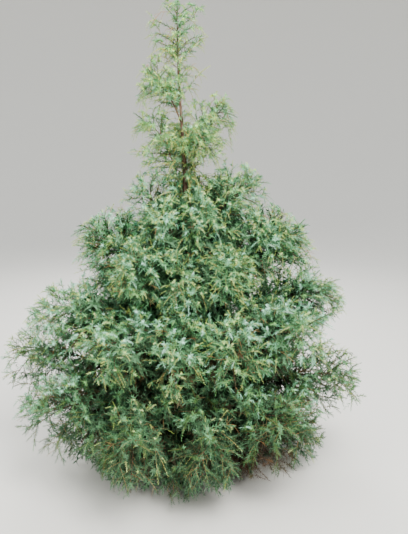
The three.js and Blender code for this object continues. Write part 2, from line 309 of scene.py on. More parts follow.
def squareTo(ahead):
    helper = np.where(np.abs(ahead[..., 2:]) > 0.97, (1.0, 0.0, 0.0), (0.0, 0.0, 1.0))
    across = unit(np.cross(ahead, helper))
    return across, np.cross(ahead, across)


# Twigs as arrays: the line and length of each, its limb, the twig it grew from, and how open the
# crown is round it
class Twigs:
    columns = ("lines", "lengths", "limb", "parent", "opened")

    def __init__(self, lines, lengths=None, limb=0, parent=0, opened=0.0):
        ends = np.linalg.norm(lines[:, 2] - lines[:, 0], axis=1)
        self.lines = lines
        self.lengths = ends if lengths is None else np.array(lengths)
        self.limb = np.zeros(len(lines), int) + limb
        self.parent = np.zeros(len(lines), int) + parent
        self.opened = np.zeros(len(lines)) + opened

    def __len__(self):
        return len(self.lines)

    def at(self, share):
        return curvePoint(self.lines, share)

    def pick(self, chosen):
        return Twigs(*(getattr(self, column)[chosen] for column in self.columns))


def joinTwigs(*sets):
    return Twigs(*(np.concatenate([getattr(twigs, column) for twigs in sets])
                   for column in Twigs.columns))


def readLimbs():
    names, lines, rows = [], [], []
    for tier, leaves, climb, nod, split, space, thick, twigs, limbs in limbTable["tiers"]:
        for place, (azimuth, reach, height) in enumerate(limbs):
            foot = leaves + climb * ((place * limbTable["goldenPart"]) % 1)
            heart = trunkCentre(foot * mm)
            out = np.array([math.cos(math.radians(azimuth)), math.sin(math.radians(azimuth)), 0])
            arch = heart + out * reach * limbTable["crookAt"] * mm
            tip = heart + out * reach * mm
            arch[2], tip[2] = (height + nod) * mm, height * mm
            names.append(f"{tier}_{place + 1}")
            lines.append([heart, arch, tip])
            rows.append((tier, split, space, thick, twigs))
    top, end = limbTable["trunkTop"], limbTable["leaderHeight"]
    lines.append([trunkCentre(h * mm) for h in (top, mix(top, end, 0.5), end)])
    names.append("leader_spray")
    rows.append(("leader", 0, *limbTable["leader"]))
    return names, np.array(lines), [np.array(column) for column in zip(*rows)]


limbNames, limbLines, limbColumns = readLimbs()
limbCount = len(limbNames)
limbTier, limbSplit, limbTwigs = limbColumns[0], limbColumns[1].astype(float), limbColumns[4]
limbSpace, limbThick = (column.astype(float) * mm for column in limbColumns[2:4])
isBare = limbTier == "dead"
isSlim = np.isin(limbTier, ["dead", "spire", "leader"])
limbCentre = curvePoint(limbLines, mix(np.maximum(limbSplit, limbTable["centreFrom"]), 1, 0.5))
slimRadius = np.where(isBare, limbTable["bareWidth"] * mm, limbSpace * limbTable["slimWidth"])
limbFoot = np.where(limbSplit > 0, limbThick * limbTable["boughTaper"], limbThick)


# What foliage has to stay clear of: straight lengths of trunk and limb, each with a radius. The
# trunk's owner is -1, a bough's -2
def readObstacles():
    steps = limbTable["trunkSteps"]
    heights = np.linspace(0, limbTable["trunkTop"] * mm, steps + 1)
    starts, ends = list(trunkCentre(heights[:-1])), list(trunkCentre(heights[1:]))
    radii, owners = list(trunkRadius(heights[:-1], 0)), [-1] * steps
    steps = limbTable["limbSteps"]
    for limb, split in enumerate(limbSplit):
        for low, high, owner, radius in (
                (0, split, -2, limbThick[limb]), (split, 1, limb, slimRadius[limb])):
            if high > low:
                points = curvePoint(limbLines[limb], np.linspace(low, high, steps + 1))
                starts += list(points[:-1])
                ends += list(points[1:])
                radii += [radius] * steps
                owners += [owner] * steps
    return np.array(starts), np.array(ends), np.array(radii), np.array(owners)


obstacleStart, obstacleEnd, obstacleRadius, obstacleOwner = readObstacles()
airGap = 2.5 * mm
groundGap = 12 * mm
furthest = 1.6                      # from the middle of a mass to its foliage, for each unit of space
centreGap = np.linalg.norm(limbCentre[:, None] - limbCentre[None], axis=-1)


# A mass keeps to the points that are nearer to it than to any other, weighed by their spaces
def inOwnSpace(points, limb, gap, most):
    power = ((points[:, None] - limbCentre[None]) ** 2).sum(-1) - limbSpace ** 2
    rows = np.arange(len(points))
    own = power[rows, limb]
    margin = power - own[:, None] - 2 * gap * centreGap[limb]
    margin[rows, limb] = 1
    away = np.linalg.norm(points - limbCentre[limb], axis=1)
    return (points[:, 2] > groundGap) & (away < most * limbSpace[limb]) & (margin > 0).all(1)


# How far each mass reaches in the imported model
massNodes = ["twigs_dead_1" if name.startswith("dead") else f"foliage_{name}" for name in limbNames]
massReach = np.array([[list(corner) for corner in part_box(node)] for node in massNodes])
crownMargin = 0.04
crownLow, crownHigh = np.array(cadBox[0]) - crownMargin, np.array(cadBox[1]) + crownMargin
reachRound = 1.25                   # each mass is a rounded form a little fuller than an ellipsoid


def inReach(points, limb, margin):
    middle = massReach[limb].mean(1)
    half = (massReach[limb, 1] - massReach[limb, 0]) / 2 + margin
    return (((points - middle) / half) ** 2).sum(1) < reachRound


def clearOfLimbs(points, limb, radius, owners=None):
    picked = slice(None) if owners is None else np.isin(obstacleOwner, owners)
    start, end = obstacleStart[picked], obstacleEnd[picked]
    wide, owner = obstacleRadius[picked], obstacleOwner[picked]
    along = end - start
    clear = np.ones(len(points), bool)
    batch = 4000                    # points at a time, to save memory
    for low in range(0, len(points), batch):
        part = slice(low, low + batch)
        away = points[part, None] - start[None]
        share = np.clip((away * along).sum(-1) / (along ** 2).sum(-1), 0, 1)
        gap = np.linalg.norm(away - share[..., None] * along, axis=-1)
        near = gap < radius[part, None] + wide + airGap
        near &= owner[None] != limb[part, None]
        clear[part] = ~near.any(1)
    return clear


# Lays twigs from their roots and shortens or turns each until it has room; roomless ones are left out
def fitTwigs(rule, root, ahead, limb, parent, spread, turn, fullLength, droop, lift, owners=None):
    lines, lengths = np.zeros((len(root), 3, 3)), np.zeros(len(root))
    across, over = squareTo(ahead)
    waiting = np.arange(len(root))
    for part, shift in [(part, shift) for part in rule["tryLengths"] for shift in rule["tryTurns"]]:
        if not len(waiting):
            break
        angle = (turn[waiting] + math.radians(shift))[:, None]
        lean = spread[waiting][:, None]
        heading = ahead[waiting] * np.cos(lean) + np.sin(lean) * (
            across[waiting] * np.cos(angle) + over[waiting] * np.sin(angle))
        heading[:, 2] += lift[waiting]
        heading = unit(heading)
        length = fullLength[waiting] * part
        bend = root[waiting] + heading * (length * rule["bendAt"])[:, None]
        end = root[waiting] + heading * length[:, None]
        end[:, 2] -= droop[waiting] * length
        tried = np.stack([root[waiting], bend, end], axis=1)
        fits = np.ones(len(waiting), bool)
        for share in rule["testAt"]:
            points = curvePoint(tried, share)
            if rule.get("anywhere"):
                fits &= points[:, 2] > groundGap
                continue
            fits &= inOwnSpace(points, limb[waiting], rule["gap"], rule.get("furthest", furthest))
            if "margin" in rule:
                fits &= inReach(points, limb[waiting], rule["margin"])
                fits &= ((points > crownLow) & (points < crownHigh)).all(1)
        tested = np.flatnonzero(fits)
        for share in rule["testAt"]:
            points = curvePoint(tried[tested], share)
            held = clearOfLimbs(points, limb[waiting[tested]], length[tested] * rule["width"], owners)
            fits[tested[~held]] = False
        placed = waiting[fits]
        lines[placed], lengths[placed] = tried[fits], length[fits]
        waiting = waiting[~fits]
    return Twigs(lines, lengths, limb, parent).pick(lengths > 0)


# Seeded numbers from 0 to 1, the same as the source's
def seededChance(seed, count):
    state, drawn = seed * 7919 + 12345, []
    for _ in range(count):
        state = state * 16807 % 2147483647
        drawn.append(state / 2147483647)
    return drawn


# In every rule: "along" is where the first and the last twig leave their parent, "spread" is in
# degrees at the foot and at the end and how it varies, "size" is the length, how much is lost to
# the end and how it varies, and "droop" and "lift" are near the ground and high up
mainRule = {                        # side twigs of a limb: the source's own, then more in between
    "along": (0.1, 0.78), "lastBetween": 0.96, "notBefore": 0.15, "spread": (66, 40, 16),
    "turnVaries": 0.9, "size": (1.2, 0.35, 0.3), "bendAt": 0.55, "droop": 0.18,
    "tryLengths": (1, 0.86, 0.72, 0.58, 0.45), "tryTurns": (0, 35, -35, 70, -70),
    "testAt": (0.25, 0.5, 0.75, 1), "gap": airGap, "width": 0.05,
    "between": 3,                   # more twigs for each of the source's
}


def growMainTwigs():
    rows = []
    firstAt, lastAt = mainRule["along"]
    atFoot, atEnd, spreadVaries = mainRule["spread"]
    fullLength, shorter, lengthVaries = mainRule["size"]
    for at in range(limbCount):
        own = int(limbTwigs[at])
        total = own * (1 + mainRule["between"])
        chance = iter(seededChance(at + 1, 3 * total))
        for place in range(total):
            wobble, lean, grow = next(chance), next(chance), next(chance)
            first = place < own     # these are the source's twigs, with its own draws
            along = place / (own - 1) if first else (place - own + 0.5) / (total - own)
            along = mix(firstAt, lastAt if first else mainRule["lastBetween"], along)
            share = mix(max(limbSplit[at], mainRule["notBefore"]), 1, along)
            spread = mix(atFoot, atEnd, along) + spreadVaries * (lean - 0.5)
            turn = at + 1 + place * golden + mainRule["turnVaries"] * (wobble - 0.5)
            length = limbSpace[at] * fullLength * (1 - shorter * along)
            length *= 1 + lengthVaries * (grow - 0.5)
            rows.append((curvePoint(limbLines[at], share), curveAhead(limbLines[at], share), at,
                         math.radians(spread), turn, length))
    root, ahead, limb, spread, turn, length = (np.array(column) for column in zip(*rows))
    droop = np.full(len(root), mainRule["droop"])
    return fitTwigs(mainRule, root, ahead, limb, 0, spread, turn, length, droop, np.zeros(len(root)))


# How open the crown is round a point, from 0 deep inside to 1 at its outer face
lightRule = {
    "cell": 0.04, "margin": 0.1, "from": 0.05, "to": 0.33, "steps": 8,
    "thick": 45, "up": 0.8, "axis": 0.85,
}
gridLow = np.array(cadBox[0]) - lightRule["margin"]
gridHigh = np.array(cadBox[1]) + lightRule["margin"]
gridSize = np.ceil((gridHigh - gridLow) / lightRule["cell"]).astype(int)


def crownGrid(*sets, shares=(0.6,), blur=0, weight=1):       # metres of shoot in each cell
    filled = np.zeros(gridSize)
    for twigs in sets:
        for share in shares:
            cells = ((twigs.at(share) - gridLow) / lightRule["cell"]).astype(int)
            np.add.at(filled, tuple(cells.T), twigs.lengths * weight / len(shares))
    for _ in range(blur):
        for axis in range(3):
            filled = (filled + np.roll(filled, 1, axis) + np.roll(filled, -1, axis)) / 3
    return filled


def openness(points, filled):
    out = points - trunkCentre(points[:, 2] * lightRule["axis"])
    out[:, 2] = 0
    out = unit(out)
    out[:, 2] = lightRule["up"]
    out = unit(out)
    met = np.zeros(len(points))
    for reach in np.linspace(lightRule["from"], lightRule["to"], lightRule["steps"]):
        at = ((points + out * reach - gridLow) / lightRule["cell"]).astype(int)
        inside = ((at >= 0) & (at < gridSize)).all(1)
        at = np.clip(at, 0, gridSize - 1)
        met += np.where(inside, filled[tuple(at.T)], 0)
    return np.exp(-met * lightRule["thick"] / lightRule["steps"])


fillRule = {                        # more side twigs, where the outer crown has room for the tip of one
    **mainRule, "cells": (0.072, 0.072, 0.072, 0.062, 0.055), "tries": 90, "fillSpread": (15, 85),
    "fillLength": (0.4, 1.2), "fillLift": 0.3, "openFrom": 0.06, "metresALitre": 0.18, "margin": 0.048,
    "openBetween": 0.8, "takenAt": (0.5, 0.75, 1.0),
    "grid": {"shares": (0.4, 0.6, 0.8, 1.0), "blur": 2, "weight": 7},
    "fuller": {"mid_4": 0.22, "mid_5": 0.32, "mid_6": 0.3, "shoulder_4": 0.22, "shoulder_5": 0.28},
}


def growFillTwigs(twigs):
    rng = np.random.default_rng(17)
    leafyLimbs = np.flatnonzero(~isBare)
    litres = (massReach[:, 1] - massReach[:, 0]).prod(1) * math.pi / 6 * 1000
    metres = np.bincount(twigs.limb, twigs.lengths, limbCount)
    most = litres * [fillRule["fuller"].get(name, fillRule["metresALitre"]) for name in limbNames]
    for size in fillRule["cells"]:
        tries = np.where(isSlim[leafyLimbs], 0, fillRule["tries"] * litres[leafyLimbs] / litres.max())
        at = rng.permutation(np.repeat(leafyLimbs, tries.astype(int)))
        share = mix(np.maximum(limbSplit[at], mainRule["notBefore"]), 1, rng.random(len(at)))
        spread = np.radians(rng.uniform(*fillRule["fillSpread"], len(at)))
        length = limbSpace[at] * rng.uniform(*fillRule["fillLength"], len(at))
        turn = rng.uniform(0, 2 * math.pi, len(at))
        lift = rng.uniform(0, fillRule["fillLift"], len(at))
        droop = np.full(len(at), mainRule["droop"])
        root, ahead = curvePoint(limbLines[at], share), curveAhead(limbLines[at], share)
        made = fitTwigs(fillRule, root, ahead, at, 0, spread, turn, length, droop, lift)
        taken = set()
        for part in fillRule["takenAt"]:
            taken.update(map(tuple, np.floor(twigs.at(part) / size).astype(int)))
        ends = made.lines[:, 2]
        opened = openness(ends, crownGrid(twigs, **fillRule["grid"]))
        # a twig may leave its mass's reach between two masses, not at the crown's outer face
        fitting = inReach(ends, made.limb, 0.0) | (opened < fillRule["openBetween"])
        used = []
        for index, cell in enumerate(map(tuple, np.floor(ends / size).astype(int))):
            limb = made.limb[index]
            room = fitting[index] and metres[limb] < most[limb]
            if room and cell not in taken and opened[index] > fillRule["openFrom"]:
                taken.add(cell)
                used.append(index)
                metres[limb] += made.lengths[index]
        twigs = joinTwigs(twigs, made.pick(used))
    return twigs


crownHeight = 1.6                   # shoots and colours change with the height, up to this one


def numbered(count):                # which of the counts each one belongs to, and its place there
    owner = np.repeat(np.arange(len(count)), count)
    return owner, np.arange(len(owner)) - np.repeat(np.cumsum(count) - count, count)


# Finer twigs: the same rule from every line of the coarser kind
finerRule = {
    "placeVaries": (-0.3, 0.3), "turnVaries": (-0.5, 0.5), "turnEach": 1.7,
    "droopVaries": (0.2, 1.8), "liftVaries": (0.4, 1.5),    # times the rule's own
}


def growFiner(rule, seed, parents):
    rng = np.random.default_rng(seed)
    count = np.clip(np.round(parents.lengths / rule["apart"]).astype(int), 1, rule["most"])
    parent, place = numbered(count)
    total = len(parent)
    along = (place + 0.5 + rng.uniform(*finerRule["placeVaries"], total)) / count[parent]
    share = mix(*rule["along"], along)
    lines, limb = parents.lines[parent], parents.limb[parent]
    root, ahead = curvePoint(lines, share), curveAhead(lines, share)
    atFoot, atEnd, varies = rule["spread"]
    spread = np.radians(mix(atFoot, atEnd, along) + rng.normal(0, varies, total))
    turn = parent * finerRule["turnEach"] + place * golden
    turn += rng.uniform(*finerRule["turnVaries"], total)
    height = np.clip(root[:, 2] / crownHeight, 0, 1)
    full, shorter, varies = rule["size"]
    length = full * (1 - shorter * along) * rng.uniform(1 - varies, 1 + varies, total)
    if "fullSpace" in rule:         # shorter where the mass is smaller
        length *= limbSpace[limb] / rule["fullSpace"]
    droop = mix(*rule["droop"], height) * rng.uniform(*finerRule["droopVaries"], total)
    lift = mix(*rule["lift"], height) * rng.uniform(*finerRule["liftVaries"], total)
    return fitTwigs(rule, root, ahead, limb, parent, spread, turn, length, droop, lift, (-1, -2))


def growKinds(parents, *plans):     # each plan is a rule, a seed and the parents it is for
    sets = []
    for rule, seed, chosen in plans:
        chosen = np.flatnonzero(chosen)
        made = growFiner(rule, seed, parents.pick(chosen))
        made.parent = chosen[made.parent]
        sets.append(made)
    return joinTwigs(*sets)


shootRule = {                       # shoots on the side twigs: they rise, arch over and nod
    "apart": 0.027, "most": 11, "along": (0.14, 0.98), "spread": (58, 32, 9), "size": (0.132, 0.25, 0.3),
    "bendAt": 0.6, "droop": (0.12, 0.42), "lift": (0.28, 0.78),
    "tryLengths": (1, 0.75, 0.5), "tryTurns": (0, 50, -50),
    "testAt": (0.5, 1), "gap": -0.02, "width": 0.02, "margin": 0.042, "furthest": 1.9,
}
slimShootRule = {                   # in the spire
    **shootRule, "apart": 0.033, "spread": (66, 32, 9), "size": (0.15, 0.25, 0.3),
    "droop": (0.4, 0.5), "lift": (0.2, 0.5), "margin": 0.03,
}
leaderShootRule = {
    **slimShootRule, "apart": 0.1, "spread": (70, 45, 9), "size": (0.16, 0.25, 0.3),
    "droop": (0.6, 0.8), "lift": (0.2, 0.55), "margin": 0.035,
}
strandRule = {                      # long and hanging, from the leader itself
    **leaderShootRule, "apart": 0.024, "most": 12, "along": (0, 0.82), "spread": (76, 55, 9),
    "size": (0.2, 0.25, 0.3), "bendAt": 0.5, "droop": (0.6, 1.05), "lift": (0.2, 0.7),
    "margin": 0.09, "gap": -0.06,
}
sprigRule = {                       # the last side twigs, which hang from the shoots
    "apart": 0.043, "most": 4, "along": (0.16, 0.66), "spread": (56, 40, 8), "size": (0.05, 0.2, 0.3),
    "bendAt": 0.55, "droop": (0.15, 0.38), "lift": (0.05, 0.15), "tryLengths": (1, 0.7),
    "tryTurns": (0,), "testAt": (1,), "gap": -0.025, "width": 0.02, "margin": 0.046, "furthest": 2.0,
}
slimSprigRule = {**sprigRule, "apart": 0.034, "droop": (0.35, 0.5), "lift": (0, 0.05)}
stemRule = {                        # short shoots on the leader and on the feet of the spire's limbs
    **shootRule, "apart": 0.0085, "most": 60, "along": (0, 1), "spread": (55, 55, 9),
    "size": (0.085, 0.25, 0.45), "droop": (0.12, 0.55), "lift": (0.28, 0.2), "anywhere": True,
}
neckRule = {                        # longer, where the spire leaves the crown and above its limbs
    **stemRule, "apart": 0.0055, "spread": (66, 60, 9), "size": (0.19, 0.25, 0.4),
    "droop": (0.12, 0.45), "lift": (0.28, 0.3),
}
innerRule = {                       # old twigs near the trunk, under the leafy part of each limb
    "apart": 0.024, "most": 24, "along": (0.06, 0.97), "spread": (72, 60, 10), "size": (0.19, 0.2, 0.35),
    "bendAt": 0.5, "droop": (0.1, 0.1), "lift": (0.1, 0.1), "tryLengths": (1, 0.7, 0.45),
    "tryTurns": (0, 60, -60), "testAt": (0.5, 1), "width": 0.01, "anywhere": True, "fullSpace": 0.22,
}
trunkTwigRule = {**innerRule, "apart": 0.0075, "most": 40, "along": (0, 0.97), "size": (0.27, 0.2, 0.35)}
innerFineRule = {
    **innerRule, "apart": 0.036, "most": 6, "along": (0.2, 0.97), "spread": (60, 45, 10),
    "size": (0.085, 0.2, 0.35), "tryTurns": (0,),
}
deadRule = {                        # dead side twigs divide once more
    **innerRule, "anywhere": False, "apart": 0.008, "most": 20, "along": (0.1, 0.97),
    "spread": (62, 40, 10), "size": (0.12, 0.2, 0.35), "droop": (0.25, 0.25), "gap": 0.0,
    "fullSpace": 0.12, "furthest": 2.4, "margin": 0.03,
}
stretchRule = {                     # the parts of stems that bear twigs, as shares and as metres up
    "leafyFrom": 0.66, "slimLeafyFrom": 0.12, "spireFeet": (0.05, 0.6), "broadFeet": (0, 0.8),
    "leader": (1.2, 1.95, 0.17), "trunk": (0.12, 1.25, 0.15),
    "neck": (1.34, 0.28), "underTip": (1.78, 0.24), "neckCounts": (0.28, 0.11),
}

mains = growFillTwigs(growMainTwigs())
leafyStem = np.flatnonzero(~isBare)
# the outer part of each limb bears shoots as its side twigs do, and in the spire nearly all of it
leafyFrom = np.where(isSlim[leafyStem], stretchRule["slimLeafyFrom"], stretchRule["leafyFrom"])
stemOuter = Twigs(partOf(limbLines[leafyStem], leafyFrom, 1), limb=leafyStem)
bearing = joinTwigs(mains.pick(~isBare[mains.limb]), stemOuter)
bearingTier = limbTier[bearing.limb]
shoots = growKinds(bearing, (shootRule, 11, ~isSlim[bearing.limb]),
                   (slimShootRule, 18, bearingTier == "spire"),
                   (leaderShootRule, 19, bearingTier == "leader"),
                   (strandRule, 24, np.arange(len(bearing)) == len(bearing) - 1))
sprigs = growKinds(shoots, (sprigRule, 12, ~isSlim[shoots.limb]),
                   (slimSprigRule, 20, isSlim[shoots.limb]))
# what hides the stem in the spire
low, high, length = stretchRule["leader"]
spireFeet = partOf(limbLines[isSlim & ~isBare], *stretchRule["spireFeet"])
stems = Twigs(np.concatenate([trunkStretches(np.arange(low, high, length), length), spireFeet]),
              limb=limbCount - 1)
necks = [trunkStretches([low], length) for low, length in (stretchRule["neck"], stretchRule["underTip"])]
necks = Twigs(np.concatenate(necks), stretchRule["neckCounts"], limbCount - 1)
neckShoots = growFiner(neckRule, 25, necks)
nearShoots = joinTwigs(growFiner(stemRule, 16, stems), neckShoots,
                       growFiner({**slimSprigRule, "anywhere": True}, 26, neckShoots))
nearShoots.parent[:] = len(bearing) - 1
# the bare foot of each limb, up to where its shoots begin
broadStem = np.flatnonzero(~isSlim & (limbTier != "crest"))
broadFeet = Twigs(partOf(limbLines[broadStem], *stretchRule["broadFeet"]), limb=broadStem)
low, high, length = stretchRule["trunk"]
trunkParts = trunkStretches(np.arange(low, high, length), length)
trunkParts = Twigs(trunkParts, np.full(len(trunkParts), length), limbSpace.argmax())
old = joinTwigs(growFiner(innerRule, 13, broadFeet), growFiner(trunkTwigRule, 22, trunkParts))
oldFine = growFiner(innerFineRule, 14, old)
dead = growFiner(deadRule, 15, mains.pick(isBare[mains.limb]))
print("grown:", len(mains), "side twigs,", len(shoots), "shoots,", len(sprigs), "sprigs,", len(old),
      len(oldFine), "inner twigs,", len(dead), "dead ones")

# low at the front right the shoots in the shade have died
hollow = {"middle": np.array([0.37, -0.45, 0.1]), "half": np.array([0.21, 0.26, 0.18]), "testAt": 0.6}


def inHollow(twigs):
    away = (twigs.at(hollow["testAt"]) - hollow["middle"]) / hollow["half"]
    return (away ** 2).sum(1) < 1


diedShoots, diedSprigs = inHollow(shoots), inHollow(sprigs)
diedSprigs |= diedShoots[sprigs.parent]
died = joinTwigs(shoots.pick(diedShoots), sprigs.pick(diedSprigs))
sprigs.parent = (np.cumsum(~diedShoots) - 1)[sprigs.parent]
shoots, sprigs = joinTwigs(shoots.pick(~diedShoots), nearShoots), sprigs.pick(~diedSprigs)
print("died in the hollow:", len(died))

openRule = {
    "spireLeast": 0.5, "hiddenBelow": 0.5, "mostOpen": 0.85, "shedShare": 0.07,
    "twigAt": 0.6, "bearingAt": 0.5, "oldAt": 0.85,     # where along each kind it is measured
}
shootGrid = crownGrid(shoots, sprigs)
for kind, sets in (("twigAt", (shoots, sprigs)), ("bearingAt", (bearing,)), ("oldAt", (old, oldFine))):
    for twigs in sets:
        twigs.opened = openness(twigs.at(openRule[kind]), shootGrid)
for twigs in (shoots, sprigs, bearing):     # light reaches the spire from all sides
    lit = np.maximum(twigs.opened, openRule["spireLeast"])
    twigs.opened = np.where(isSlim[twigs.limb], lit, twigs.opened)


def keptWithin(twigs):              # old twigs that would come out of the crown are left away
    inOwn = inReach(twigs.at(openRule["oldAt"]), twigs.limb, 0.0)
    return (inOwn | (twigs.opened < openRule["hiddenBelow"])) & (twigs.opened < openRule["mostOpen"])


oldKept = keptWithin(old)
old, oldFine = old.pick(oldKept), oldFine.pick(keptWithin(oldFine) & oldKept[oldFine.parent])
print("inner twigs that stay:", len(old), len(oldFine))
shedShoot = np.random.default_rng(23).random(len(shoots)) < openRule["shedShare"]
shedSprig = shedShoot[sprigs.parent]        # these have shed their needles


# Joined meshes from arrays
def makeMesh(name, points, corners, sizes, kinds, finishes, smooth=False):
    mesh = bpy.data.meshes.new(name)
    mesh.vertices.add(len(points))
    mesh.vertices.foreach_set("co", points.astype(np.float32).ravel())
    mesh.loops.add(len(corners))
    mesh.loops.foreach_set("vertex_index", corners.astype(np.int32))
    mesh.polygons.add(len(sizes))
    mesh.polygons.foreach_set("loop_start", (np.cumsum(sizes) - sizes).astype(np.int32))
    mesh.polygons.foreach_set("material_index", kinds.astype(np.int32))
    mesh.polygons.foreach_set("use_smooth", np.full(len(sizes), smooth))
    mesh.update(calc_edges=True)
    for finish in finishes:
        mesh.materials.append(finish.material)
    piece = bpy.data.objects.new(name, mesh)
    bpy.context.scene.collection.objects.link(piece)
    return piece


def cornersOf(faces, each, count):  # the corners of the same faces on every one of the pieces
    one = np.concatenate(faces)
    return (one[None] + (np.arange(count) * each)[:, None]).ravel()


def rideAs(piece, slot, *replaced):
    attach(piece, "root")
    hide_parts(*replaced)


# Tapering round twigs with a closed foot and a pointed end
def tubes(lines, footRadius, endRadius, sides, steps, fromShare=0.0):
    count = len(lines)
    side, _ = squareTo(curveAhead(lines, 0.5))
    rings = []
    for share in np.linspace(0, 1, steps + 1)[:-1]:
        at = mix(fromShare, 1, share)
        centre, ahead = curvePoint(lines, at), curveAhead(lines, at)
        across = unit(side - (side * ahead).sum(-1, keepdims=True) * ahead)
        over = np.cross(ahead, across)
        radius = np.broadcast_to(mix(footRadius, endRadius, share), count)[:, None]
        for corner in range(sides):
            angle = 2 * math.pi * corner / sides
            rings.append(centre + radius * (across * math.cos(angle) + over * math.sin(angle)))
    rings.append(curvePoint(lines, 1.0))
    points = np.stack(rings, axis=1)
    each = points.shape[1]
    faces = [list(range(sides))[::-1]]
    for ring in range(steps - 1):
        for corner in range(sides):
            a, b = ring * sides + corner, ring * sides + (corner + 1) % sides
            faces.append([a, b, b + sides, a + sides])
    last = (steps - 1) * sides
    faces += [[last + corner, last + (corner + 1) % sides, each - 1] for corner in range(sides)]
    sizes = np.tile([len(face) for face in faces], count)
    return points.reshape(-1, 3), cornersOf(faces, each, count), sizes


def makeTubes(name, finish, parts):
    starts = np.cumsum([0] + [len(points) for points, _, _ in parts])
    points = np.concatenate([part[0] for part in parts])
    corners = np.concatenate([part[1] + start for part, start in zip(parts, starts)])
    sizes = np.concatenate([part[2] for part in parts])
    return makeMesh(name, points, corners, sizes, np.zeros(len(sizes)), [finish], smooth=True)


# Bark: lengthwise strips, grey and brown, split and lifting in places
barkLooks = {
    "trunkSides": 44, "footTop": 60, "footRing": 6,
    "trunkRing": 13,                         # rings of the trunk, millimetres apart
    "boughRoundness": 6, "boughSteps": 30,
    "stripAcross": 150, "stripAlong": 0.12,  # how fine the relief is, and how much longer than wide
    "grainAlong": 0.075,                     # the pattern's run along the wood, against its run round it
    "trunkDepth": 0.0016, "boughDepth": 0.0008, "fullDepthFrom": 0.01,
    "collar": 0.45, "collarReach": 0.022,    # a bough swells into the trunk
    "relief": (0.7, 1.9, 0.5, 2.7),          # mean height, furrows, fine relief and its scale
    "trunkSeed": 3, "boughSeed": 7,
    "crack": (170, 0.16, 0.45),              # scale, width, and how high the bark is in one
    "patterns": ((120, 3, 0.6, 0.55), (520, 4, 0.65, 0.45)),    # scale, detail, roughness, share
    "shade": 1.25, "bump": (0.7, 0.0015), "roughness": (0.98, 0.2),
    "stops": [(0.0, (34, 27, 23)), (0.34, (76, 58, 47)), (0.52, (110, 87, 70)),
              (0.7, (140, 119, 101)), (1.0, (172, 158, 142))],
    "deadStops": [(0.0, (48, 38, 32)), (0.4, (82, 66, 54)), (0.65, (112, 94, 80)),
                  (1.0, (146, 132, 118))],
}
flakeLooks = {                      # low and high ends of what is drawn for each flake, in metres
    "count": 170, "rows": 7, "thick": 0.0006, "start": (0.02, 1.5), "length": (0.03, 0.11),
    "wide": (0.003, 0.0065), "curl": (0.001, 0.0065), "drift": 0.12, "rise": 0.6, "sink": 0.0012,
    "taper": 0.75,
}


def woodFinish(name, stops, attribute):
    wood = Finish(name, fromScreen(*stops[2][1]), 0.9)
    if attribute:
        place = wood.node("ShaderNodeAttribute", {"attribute_name": attribute}, output=1)
    else:
        place = wood.node("ShaderNodeTexCoord", output=3)
    scale, wide, least = barkLooks["crack"]
    crack = wood.node("ShaderNodeTexVoronoi", {"feature": "DISTANCE_TO_EDGE"},
                      {"Vector": place, "Scale": scale})
    whole = wood.node("ShaderNodeMapRange", None, {"Value": crack, "From Min": 0.0, "From Max": wide})
    coarse, fine = (
        wood.node("ShaderNodeTexNoise", None,
                  {"Vector": place, "Scale": scale, "Detail": detail, "Roughness": rough}) * part
        for scale, detail, rough, part in barkLooks["patterns"])
    height = (coarse + fine) * (least + whole * (1 - least))
    stops = [(at, fromScreen(*colour)) for at, colour in stops]
    shade = wood.node("ShaderNodeValToRGB", {"stops": stops}, {"Fac": height * barkLooks["shade"]})
    strength, distance = barkLooks["bump"]
    bump = wood.node("ShaderNodeBump", None,
                     {"Height": height, "Strength": strength, "Distance": distance})
    roughest, smoother = barkLooks["roughness"]
    wood.feed(wood.shader, {"Base Color": shade, "Roughness": roughest - height * smoother,
                            "Normal": bump})
    return wood


def followGrain(points, line):      # where each point lies beside and along the middle of a limb
    ahead = unit(np.gradient(line, axis=0))
    run = np.concatenate([[0], np.cumsum(np.linalg.norm(np.diff(line, axis=0), axis=1))])
    nearest = np.linalg.norm(points[:, None] - line[None], axis=-1).argmin(1)
    away = points - line[nearest]
    forward = (away * ahead[nearest]).sum(1)
    away = away - ahead[nearest] * forward[:, None]
    across, over = squareTo(ahead[nearest])
    beside = np.stack([(away * across).sum(1), (away * over).sum(1)], axis=1)
    return away, beside, run[nearest] + forward


def setGrain(mesh, beside, along):
    grain = mesh.attributes.new("grain", "FLOAT_VECTOR", "POINT")
    values = np.concatenate([beside, along[:, None] * barkLooks["grainAlong"]], axis=1)
    grain.data.foreach_set("vector", values.astype(np.float32).ravel())


def addRelief(piece, line, depth, seed, collar=0.0, flare=False):
    mesh = piece.data
    points = np.empty(len(mesh.vertices) * 3, np.float32)
    mesh.vertices.foreach_get("co", points)
    points = points.reshape(-1, 3).astype(float)
    away, beside, along = followGrain(points, line)
    setGrain(mesh, beside, along)
    wide = np.linalg.norm(away, axis=1)
    relief = []
    mean, furrow, fine, fineScale = barkLooks["relief"]
    for (x, y), s in zip(beside, along):
        spot = Vector((x, y, s * barkLooks["stripAlong"])) * barkLooks["stripAcross"]
        spot.z += seed
        relief.append(mean - furrow * abs(noise.noise(spot)) + fine * noise.noise(spot * fineScale))
    grow = 1 + collar * np.exp(-along / barkLooks["collarReach"])
    if flare:
        angle = np.arctan2(away[:, 1], away[:, 0])
        grow *= trunkRadius(points[:, 2], angle) / trunkRadius(points[:, 2], 0)
    rim = wide > 1e-6
    moved = points - away
    lift = depth * np.array(relief) * np.minimum(1, wide / barkLooks["fullDepthFrom"])
    moved[rim] += (away * ((grow * wide + lift) / np.maximum(wide, 1e-9))[:, None])[rim]
    moved[:, 2] = np.maximum(moved[:, 2], 0)
    mesh.vertices.foreach_set("co", moved.astype(np.float32).ravel())
    mesh.update()


